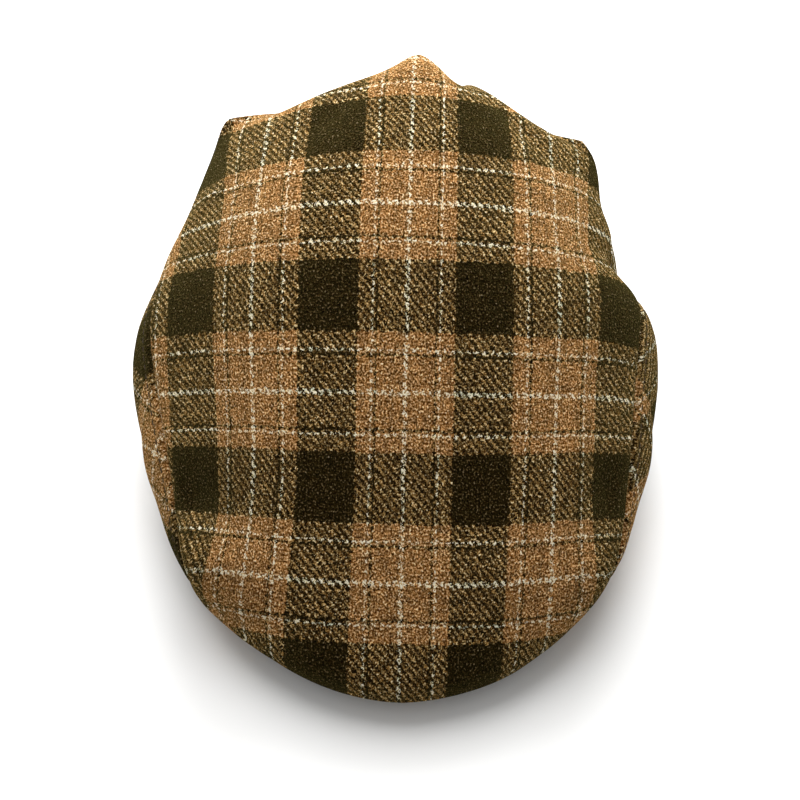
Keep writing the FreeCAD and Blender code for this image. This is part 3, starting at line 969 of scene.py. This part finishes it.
def plaid_shift(across, along):
    """Shift of the plaid's threads across and along the top panel."""
    place = np.clip(along, SHIFT_PLACES[0], SHIFT_PLACES[-1])
    out = np.abs(across)

    def shift(sides, start, end):
        left, right = [smooth_curve(SHIFT_PLACES, values, place)[..., 0] for values in sides]
        return np.where(across < 0, left, right) * smooth_step(out, start, end)

    sideways = shift(SIDEWAYS, 0.0, 0.55) + shift(AT_SEAMS, 0.35, 0.75)
    return point(sideways, -shift(BACKWARD, 0.1, 0.8))


def hem_threads(flat_edge, before, distances):
    """Flat places of rows that carry on past an edge of the flat cloth, by their distances."""
    reach = 10
    direction = np.pad(unit(flat_edge - before), ((reach, reach), (0, 0)), mode="edge")
    windows = [direction[k:k + len(flat_edge)] for k in range(2 * reach + 1)]
    return flat_edge[None] + unit(np.mean(windows, axis=0))[None] * distances[..., None]


def fold_push(across, along):
    """How far the folds stand off the top panel's even shape."""
    push = 0.0
    for middle_across, middle_along, half_length, half_width, degrees, height in TOP_FOLDS:
        turn = math.radians(degrees)
        right, back = across - middle_across, along - middle_along
        long_way = right * math.cos(turn) + back * math.sin(turn)
        short_way = back * math.cos(turn) - right * math.sin(turn)
        push = push + height * bell(long_way, 0.0, half_length) * bell(short_way, 0.0, half_width)
    return push


def top_shape(across, along):
    """The top panel's outside from the brim's edge to the back seam, and the hem rolled under."""
    grid = soften(top_outside(across[None, :], along[:, None]), 6)
    from_left = lengths_along(grid)
    from_right = from_left[:, -1:] - from_left
    from_front = lengths_down(grid)
    from_back = from_front[-1:] - from_front
    from_seam = np.minimum(np.minimum(from_left, from_right), from_back)
    push = wrinkles(grid, np.minimum(from_seam, from_front))
    push += fold_push(across[None, :], along[:, None]) * smooth_step(from_seam, 0.0, FOLD_FREE)
    grid = grid + grid_normals(grid) * push[..., None]
    left = seam_inward(-1, along * SIDE_SEAM_SHARE)[:, None]
    right = seam_inward(1, along * SIDE_SEAM_SHARE)[:, None]
    round_back = 1.0 - (1.0 - SIDE_SEAM_SHARE) * np.abs(across)
    back = np.where(across[:, None] < 0, seam_inward(-1, round_back), seam_inward(1, round_back))
    for distance, inward in ((from_left, left), (from_right, right), (from_back, back[None, :])):
        grid = grid + inward * (SEAM_SINK * bell(distance, 0.0, SEAM_ROLL))[..., None]
    outward = unit(np.cross(np.gradient(grid[0], axis=0), UP))
    radius, turn, tail = [np.full(len(across), value) for value in BRIM_HEM]
    roll = rolled_edge(grid[0], outward, radius, turn, tail, arrival=unit(grid[0] - grid[1]))
    return grid, roll[::-1]


def lay_top_flat():
    """The top panel laid flat, with the middle of the brim's edge at 0 and its middle line upright."""
    def surface(u, v):
        return top_outside(2 * u - 1, v)

    def guess(u, v):
        place = surface(u, v)
        centre = surface(np.full_like(v, 0.5), v)[:, 0]
        return point(place[..., 0] * 1.08, run_of(centre)[:, None] + place[..., 1] - centre[:, None, 1])

    flat = lay_flat(surface, guess)
    middle = flat.shape[1] // 2
    reach = flat[-1, middle] - flat[0, middle]
    flat = turned(flat, math.degrees(math.atan2(reach[0], reach[1])))
    return flat - flat[0, middle]


def build_top():
    across = 2 * crowd_ends(191, 0.5) - 1
    along = crowd_ends(201, 0.45)
    grid, roll = top_shape(across, along)
    flat = lay_top_flat()
    cloth = resample(flat, along, (across + 1) / 2) + plaid_shift(across[None, :], along[:, None])
    hem = np.linalg.norm(np.diff(np.concatenate([roll, grid[:1]]), axis=0), axis=2)
    below = np.cumsum(hem[::-1], axis=0)[::-1]
    cloth = np.concatenate([hem_threads(cloth[0], cloth[4], below), cloth])
    wefts = BAND_MIDDLE + SETT * (np.arange(len(WEFT_LINES)) - 1)
    threads = point((cloth[..., 0] - CENTRE_LINE) / WARP_PITCH + BAND_MIDDLE,
                    smooth_curve(WEFT_LINES, wefts, cloth[..., 1])[..., 0])
    piece = cloth_piece("crown_top", "top_panel", np.concatenate([roll, grid]), TWEED, threads,
                        TWEED_CLOTH)
    declare_sheet(flat)


SIDES = ((-1, "left"), (1, "right"))

# Where two thick white lines cross on the flat side panels.
SIDE_CROSSINGS = {-1: (56.5, 49.3), 1: (16.0, -46.5)}

# A side panel's hem, as BRIM_HEM has it, and where along the panel it changes.
HEM_BESIDE_BRIM = (1.0, 90.0, 2.4)
HEM_BESIDE_HEAD = (1.3, 180.0, 12.0)
HEM_CHANGES = (0.31, 0.37)


def side_shape(side, along, down):
    """A side panel's outside from its seam, and its lower edge rolled under; then its rows of
    stitches beside the side seam and beside the back seam, each as places and normals."""
    grid = soften(side_outside(side, along[None, :], down[:, None]), 4)
    from_seam = lengths_down(grid)
    from_hem = from_seam[-1:] - from_seam
    to_back = lengths_along(grid)
    from_back = to_back[:, -1:] - to_back
    normals = grid_normals(grid) * -side
    push = wrinkles(grid, np.minimum(np.minimum(from_seam, from_back), from_hem))
    push -= STITCH_SINK * bell(from_seam, SEAM_TO_STITCH, STITCH_GROOVE)
    grid = grid + normals * push[..., None]
    grid = grid + seam_inward(side, along) * (SEAM_SINK * bell(from_seam, 0.0, SEAM_ROLL))[..., None]
    back_inward = -normals[:, -1:] * np.array([0.0, 1.0, 1.0])
    back_sink = SEAM_SINK * bell(from_back, 0.0, SEAM_ROLL) * (1 - bell(from_seam, 0.0, 3.0))
    grid = grid + back_inward * back_sink[..., None]

    on_head = smooth_step(along, *HEM_CHANGES)
    radius, turn, tail = [mix(*ends, on_head) for ends in zip(HEM_BESIDE_BRIM, HEM_BESIDE_HEAD)]
    roll = rolled_edge(grid[-1] + point(0.0, 0.0, radius), outward_at(side, along), radius, turn, tail,
                       tail_steps=6)

    normals = grid_normals(grid) * -side
    seam_row = line_at(grid, normals, from_seam, SEAM_TO_STITCH)
    reached = from_seam[-1] > SEAM_TO_STITCH * 1.6
    back_row = line_at(grid.transpose(1, 0, 2), normals.transpose(1, 0, 2), to_back.T,
                       to_back[:, -1] - SEAM_TO_STITCH)
    clear = (from_seam[:, -1] > 3.0) & (from_hem[:, -1] > 2.0)
    return grid, roll, [part[reached] for part in seam_row], [part[clear] for part in back_row]


def build_side(side, name):
    """Builds a side panel and its topstitch, and returns its row of stitches beside the back seam."""
    along = mix(SIDE_START, 1.0, crowd_ends(231, 0.35))
    down = np.linspace(0.0, 1.0, 56) ** 1.35
    grid, roll, seam_row, back_row = side_shape(side, along, down)
    flat = lay_panel_flat(lambda u, v: side_outside(side, mix(SIDE_START, 1.0, u), v), 0)
    cloth = resample(flat, down, (along - SIDE_START) / (1.0 - SIDE_START))
    hem = lengths_down(np.concatenate([grid[-2:-1], roll]))[1:]
    cloth = np.concatenate([cloth[:-1], hem_threads(cloth[-2], cloth[-9], hem)])
    bias = turned(cloth, -45.0 * side) - SIDE_CROSSINGS[side]
    threads = bias / [WARP_PITCH, WEFT_PITCH] + BAND_MIDDLE
    piece = cloth_piece("crown_side_" + name, "side_panel_" + name,
                        np.concatenate([grid[:-1], roll]), TWEED, threads, TWEED_CLOTH, outward=-side)
    declare_sheet(flat)
    build_stitches("seam_stitches_" + name, "topstitch_" + name, *seam_row, STITCH_THREAD)
    return back_row


def build_sides():
    back_rows = [build_side(side, name) for side, name in SIDES]
    for (_, name), row in zip(SIDES, back_rows):
        build_stitches("back_stitches_" + name, "back_seam_topstitch", *row, STITCH_THREAD)


# ---- the brim ----
BRIM_EDGE_INSET = 2.3      # how far inside the brim's edge its lower cloth ends
BRIM_JOINT_INSET = 0.3     # and how far short of the head opening
BRIM_NARROWEST = 0.2       # the share of the brim's width that it still covers at the corners
BRIM_REACH = 0.985         # how far along towards the corners it goes
BRIM_STITCH_PLACE = 4.7    # the row of stitches, from the cloth's edge
BRIM_STITCH_REACH = 0.8
BRIM_STITCH_SINK = 0.3
BRIM_EDGE_SINK = 0.9       # how deep the lower cloth is tucked in at the brim's edge


def brim_lower_side(along, inward):
    """The brim's underside, kept inside its edge and short of the head opening."""
    along, inward = matched(along, inward)
    edge = brim_underside(along, np.zeros_like(along))
    joint = brim_underside(along, np.ones_like(along))
    width = np.linalg.norm(joint - edge, axis=-1, keepdims=True)
    start = BRIM_EDGE_INSET / width
    end = 1.0 - BRIM_JOINT_INSET / width
    middle = 0.5 * (start + end)
    half = np.where(start > end - BRIM_NARROWEST, 0.5 * BRIM_NARROWEST, 0.5 * (end - start))
    return mix(edge, joint, mix(middle - half, middle + half, inward[..., None]))


def lay_brim_flat():
    def surface(u, v):
        return brim_lower_side(mix(-BRIM_REACH, BRIM_REACH, u), v)

    return lay_flat(surface, lambda u, v: surface(u, v)[..., :2])


def build_under_brim():
    along = np.linspace(-BRIM_REACH, BRIM_REACH, 181)
    inward = crowd_ends(41, 0.5)
    grid = brim_lower_side(along[None, :], inward[:, None])
    from_edge = lengths_down(grid)
    from_joint = from_edge[-1:] - from_edge
    push = 0.10 * soft_noise(grid, 20.0, 2.2) * (1 - bell(from_joint, 0.0, 5.0))
    push -= BRIM_EDGE_SINK * bell(from_edge, 0.0, 1.2)
    push -= BRIM_STITCH_SINK * bell(from_edge, BRIM_STITCH_PLACE, STITCH_GROOVE)
    grid = grid + grid_normals(grid) * push[..., None]
    flat = lay_brim_flat()
    cloth = resample(flat, inward, np.linspace(0.0, 1.0, len(along)))
    threads = (cloth - [CENTRE_LINE, 0.0]) / [WARP_PITCH, WEFT_PITCH] + BAND_MIDDLE
    piece = cloth_piece("brim_lower_cloth", "under_brim", grid, TWEED, threads, TWEED_CLOTH)
    declare_sheet(flat)
    line, up = line_at(grid, grid_normals(grid), from_edge, BRIM_STITCH_PLACE)
    kept = np.abs(along) < BRIM_STITCH_REACH
    build_stitches("brim_edge_stitches", "brim_stitching", line[kept], up[kept], STITCH_THREAD)


def build_board():
    """The brim's board keeps its CAD shape, and only gets its material."""
    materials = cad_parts["brim_board"].data.materials
    materials.clear()
    materials.append(BOARD)


# ---- the bands inside the head opening ----
def ring(inset, low, high, rows, columns=360):
    """A band round the head opening: its points, and the height of each of its rows."""
    degrees = np.linspace(-180.0, 180.0, columns, endpoint=False)
    height = np.linspace(low, high, rows)
    return head_point(degrees[None, :], inset, height[:, None]), height


def build_ribbon(name, node, grid, run, height, thickness, material):
    """A ribbon round the head opening; its flat size is its run round it by its height."""
    threads = point(run[None, :], height[:, None])
    piece = cloth_piece(name, node, grid, thickness, threads, material, wrap=True)


BAND_INSET = 3.2
BAND_STITCH_HEIGHT = 3.8
BAND_PUCKER = 0.18         # between the stitches that hold it
TAPE_INSET = 2.9
TAPE_TOP = 14.0
SIZE_LABEL_DEGREES = (150.0, 158.0)
SIZE_LABEL_HEIGHTS = (8.0, 24.0)


def band_ease(places, height):
    """How far the soft upper part of the band stands off its wall."""
    return 0.5 * soft_noise(places, 26.0, 3.7) * smooth_step(height, 8.0, 26.0)


def build_band():
    grid, height = ring(BAND_INSET, BAND_LIFT, BAND_HEIGHT, rows=25, columns=720)
    run = run_of(grid[0])
    normals = grid_normals(grid, wrap=True)
    ripple = BAND_PUCKER * np.cos(2 * np.pi * run / STITCH_PITCH)
    pucker = ripple[None, :] * bell(height, BAND_STITCH_HEIGHT, 3.0)[:, None]
    grid = grid + normals * (pucker + band_ease(grid, height[:, None]))[..., None]
    build_ribbon("sweatband_ribbon", "sweatband", grid, run, height, RIBBON, BAND_RIBBON)
    row = int(np.argmin(np.abs(height - BAND_STITCH_HEIGHT)))
    line = (grid - normals * RIBBON)[row]
    around = np.arange(len(line) + 1) % len(line)
    build_stitches("band_stitches", "sweatband_stitching", line[around], -normals[row, around],
                   BAND_THREAD)


def build_tape():
    grid, height = ring(TAPE_INSET, BAND_LIFT + 1.0, TAPE_TOP, rows=9)
    build_ribbon("stay_tape", "headband_tape", grid, run_of(grid[0]), height, STAY, STAY_TAPE)


def build_label(name, node, grid, threads, width, height):
    material = woven_label(node + "_weave", width, height)
    piece = cloth_piece(name, node, grid, LABEL, threads, material)


def build_size_label():
    degrees = np.linspace(*SIZE_LABEL_DEGREES, 17)
    height = np.linspace(*SIZE_LABEL_HEIGHTS, 17)
    tall = float(height[-1] - height[0])
    grid = head_point(degrees[None, :], BAND_INSET, height[:, None])
    off_band = band_ease(grid, height[:, None]) - RIBBON - 0.08
    grid = grid + grid_normals(grid) * off_band[..., None]
    width = float(np.linalg.norm(grid[0, -1] - grid[0, 0]))
    threads = point(np.linspace(-width / 2, width / 2, 17)[None, :], (height - height.mean())[:, None])
    build_label("size_tag", "size_label", grid, threads, width, tall)


# ---- the lining ----
TUCK_ROWS = 4


def tucked_behind_band(degrees):
    """Rows that take the lining down behind the sweatband, from its lower edge."""
    share = np.linspace(0.0, 1.0, TUCK_ROWS + 1)[1:, None]
    return head_point(degrees[None, :], mix(LINING_INSET, 2.7, share),
                      BAND_HEIGHT + mix(LINING_RISE, -5.0, share))


def lining_push(places, from_band):
    """Easy folds of the lining, and the fine gathers where it meets the sweatband."""
    calm = smooth_step(from_band, 0.0, 12.0)
    around = np.degrees(np.arctan2(places[..., 0], places[..., 1] - HEAD_CENTRE_Y))
    gathers = 0.5 * np.sin(np.radians(around) * 46 + 2.0 * soft_noise(places, 18.0, 4.4))
    return (calm * (1.3 * soft_noise(places, 31.0, 1.7) + 0.5 * soft_noise(places, 12.0, 8.8))
            + gathers * bell(from_band, 7.0, 6.0))


def build_lining_top():
    """Builds the lining's top piece, and returns it as a grid with its places across and along."""
    across = np.linspace(-1.0, 1.0, 81)
    along = crowd_ends(161, 0.3)
    grid = lining_top_surface(across[None, :], along[:, None])
    x = LINING_STRIP * across
    front = np.sign(x) * ring_angle(np.abs(x), 0.0, LINING_FRONT_CORNER)
    back = np.where(x < 0, -1, 1) * ring_angle(np.abs(x), LINING_BACK_CORNER, 180.0)
    from_front = lengths_down(grid)
    from_band = np.minimum(from_front, from_front[-1:] - from_front)
    grid = grid + grid_normals(grid) * lining_push(grid, from_band)[..., None]
    full = np.concatenate([tucked_behind_band(front)[::-1], grid, tucked_behind_band(back)])
    run = lengths_down(full)
    piece = cloth_piece("lining_crown", "lining_top", full, SATIN, point(x[None, :], run),
                        LINING_SATIN)
    return grid, across, along


def build_lining_sides():
    along = np.linspace(0.0, 1.0, 121)
    down = np.linspace(0.0, 1.0, 41)
    for side, name in SIDES:
        grid = lining_side_surface(side, along[None, :], down[:, None])
        from_seam = lengths_down(grid)
        from_band = from_seam[-1:] - from_seam
        push = lining_push(grid, from_band) * smooth_step(from_seam, 0.0, 10.0)
        grid = grid + grid_normals(grid) * (push * -side)[..., None]
        degrees = side * mix(LINING_FRONT_CORNER, LINING_BACK_CORNER, along)
        full = np.concatenate([grid, tucked_behind_band(degrees)])
        flat = lay_panel_flat(lambda u, v: lining_side_surface(side, u, v), -1)
        threads = resample(flat, down, along)
        threads = np.concatenate([threads, np.repeat(threads[-1:], TUCK_ROWS, axis=0)])
        piece = cloth_piece("lining_" + name, "lining_side_" + name, full, SATIN, threads,
                            LINING_SATIN, outward=-side)
        declare_sheet(flat)


MAKER_LABEL_HALF = 26.0
MAKER_LABEL_ALONG = (0.50, 0.60)


def build_maker_label(lining, across, along):
    x = across * LINING_STRIP
    columns = np.abs(x) <= MAKER_LABEL_HALF + 0.1
    rows = (along >= MAKER_LABEL_ALONG[0]) & (along <= MAKER_LABEL_ALONG[1])
    x = x[columns]
    grid = (lining - grid_normals(lining) * (SATIN + 0.1))[np.ix_(rows, columns)]
    run = lengths_down(grid)
    width, height = float(x[-1] - x[0]), float(run[-1].mean())
    threads = point(x[None, :], run - height / 2)
    build_label("maker_tag", "maker_label", grid, threads, width, height)


# ---- lights, camera ----
def aim(item, target):
    item.rotation_euler = (Vector(target) - item.location).to_track_quat("-Z", "Y").to_euler()


MIDDLE = (0.0, 0.0, 0.05)
LIGHTS = [                 # name, place and size in metres, watts
    ("key", (-0.06, 0.52, 0.60), 1.2, 13.5),
    ("rim", (0.05, 0.70, 0.32), 0.7, 9.5),
    ("fill", (-0.2, -0.4, 1.4), 1.6, 2.5),
]


def area_light(name, place, size, power):
    """Round light that shines at the middle of the cap."""
    light = bpy.data.lights.new(name, "AREA")
    light.shape = "DISK"
    light.size = size
    light.energy = power
    item = add_object(name, light)
    item.location = place
    aim(item, MIDDLE)


FLOOR_HALF = 4.0
FLOOR_GAP = 0.0002


def build_stage():
    half = FLOOR_HALF
    corners = [(-half, -half, 0), (half, -half, 0), (half, half, 0), (-half, half, 0)]
    mesh = bpy.data.meshes.new("floor")
    mesh.from_pydata(corners, [], [(0, 1, 2, 3)])
    mesh.materials.append(pale_floor("pale_floor"))
    floor = add_object("floor", mesh)
    floor.location.z = -FLOOR_GAP
    world = bpy.data.worlds.new("studio")
    world.use_nodes = True
    background = world.node_tree.nodes["Background"]
    background.inputs["Color"].default_value = (1.0, 0.99, 0.97, 1.0)
    background.inputs["Strength"].default_value = 0.32
    bpy.context.scene.world = world
    for light in LIGHTS:
        area_light(*light)
    bpy.context.scene.view_settings.view_transform = "Standard"


CAMERA_ELEVATION = 57.0    # degrees above level, in front of the cap
CAMERA_DISTANCE = 0.72


def build_camera():
    camera = bpy.data.cameras.new("camera")
    camera.lens = 74.2
    camera.sensor_width = 36.0
    item = add_object("camera", camera)
    elevation = math.radians(CAMERA_ELEVATION)
    back = Vector((0.0, -math.cos(elevation), math.sin(elevation)))
    item.location = Vector((0.0, -0.004, 0.045)) + back * CAMERA_DISTANCE
    aim(item, (0.00175, -0.0117, 0.040))
    bpy.context.scene.camera = item


build_top()
build_sides()
build_under_brim()
build_band()
build_tape()
build_size_label()
build_maker_label(*build_lining_top())
build_lining_sides()
build_board()
build_stage()
build_camera()
